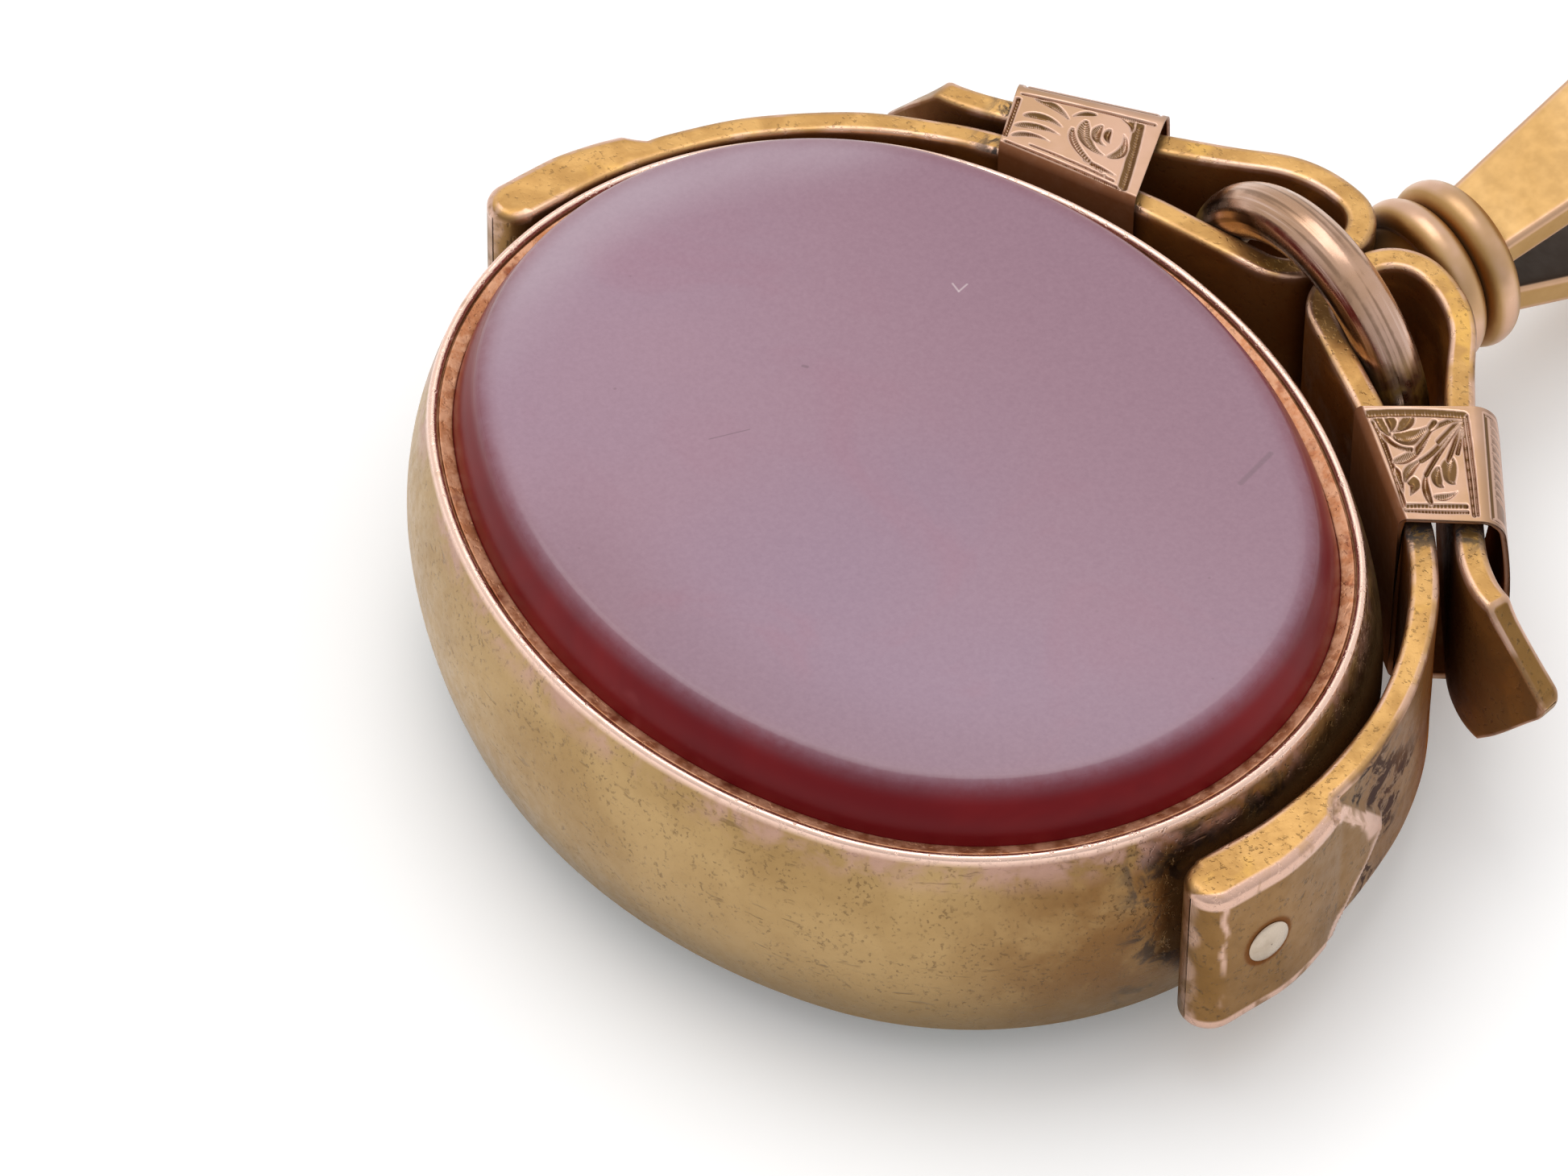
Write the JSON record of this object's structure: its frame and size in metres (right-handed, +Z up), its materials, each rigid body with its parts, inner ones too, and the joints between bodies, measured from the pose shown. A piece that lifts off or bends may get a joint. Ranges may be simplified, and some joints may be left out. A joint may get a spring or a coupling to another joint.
{
  "type": "spinner fob",
  "caption": "Oval fob with a stone in each face, spinning on pins in a yoke of folded straps, with a ring, a beaded collar and a loop bail.",
  "frame": {"origin": "on the surface that the fob rests on, under the middle of its bounding box", "axes": "+X along the spin axis through both pins, +Y from the oval to the bail, +Z up through the stones"},
  "size_m": [0.0284, 0.04, 0.0085],
  "materials": {
    "bezel_gold": "aged nine carat gold, satin with tarnish and bright worn rims",
    "yellow_gold": "aged yellow gold, worn bright on the edges, dark in the folds",
    "rose_gold": "polished rose gold, engraved on the keepers",
    "white_gold": "pale polished rivet heads",
    "carnelian": "polished deep red carnelian",
    "bloodstone": "polished dark green bloodstone with red specks"
  },
  "bodies": {
    "yoke": {"strap_right": "yellow_gold", "strap_left": "yellow_gold", "keeper_right": "rose_gold", "keeper_left": "rose_gold", "ring": "rose_gold", "bail": "yellow_gold", "pin_right": "white_gold", "pin_left": "white_gold"},
    "spinner": {"bezel": "bezel_gold", "stone_front": "carnelian", "stone_back": "bloodstone"}
  },
  "joints": [
    {"name": "spin", "type": "hinge", "parent": "yoke", "child": "spinner", "pos_m": [0, -0.00961, 0.00425], "axis": [1, 0, 0], "continuous": true}
  ]
}
